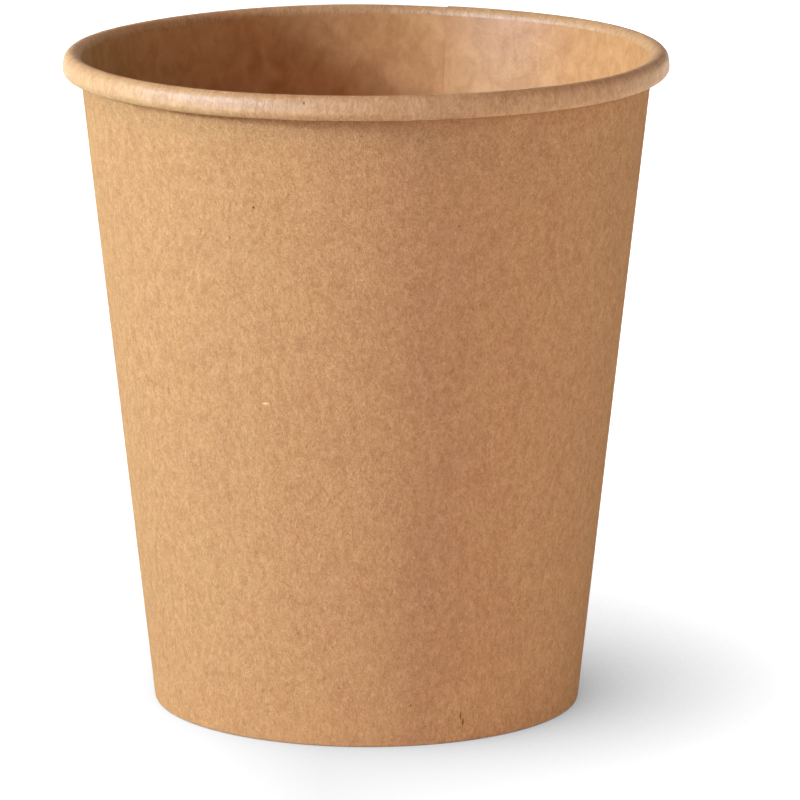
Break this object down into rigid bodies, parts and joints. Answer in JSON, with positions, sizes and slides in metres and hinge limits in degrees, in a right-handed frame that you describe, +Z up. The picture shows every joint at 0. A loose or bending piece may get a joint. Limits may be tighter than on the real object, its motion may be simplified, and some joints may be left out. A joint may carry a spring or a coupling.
{
  "type": "paper coffee cup",
  "caption": "Tapered single-wall paper cup with a rolled brim, a lapped side seam and a recessed bottom.",
  "frame": {"origin": "centre of the foot, on the table that the cup stands on", "axes": "+Z up along the cup's axis, out of its mouth; the side seam's inner edge lies 73 degrees from +X towards +Y"},
  "size_m": [0.073, 0.073, 0.08],
  "materials": {
    "side_board": "natural kraft board, matt outside and slightly smoother inside",
    "bottom_board": "natural kraft board, slightly smooth"
  },
  "bodies": {
    "root": {"side_wall": "side_board", "bottom_disc": "bottom_board"}
  },
  "joints": []
}
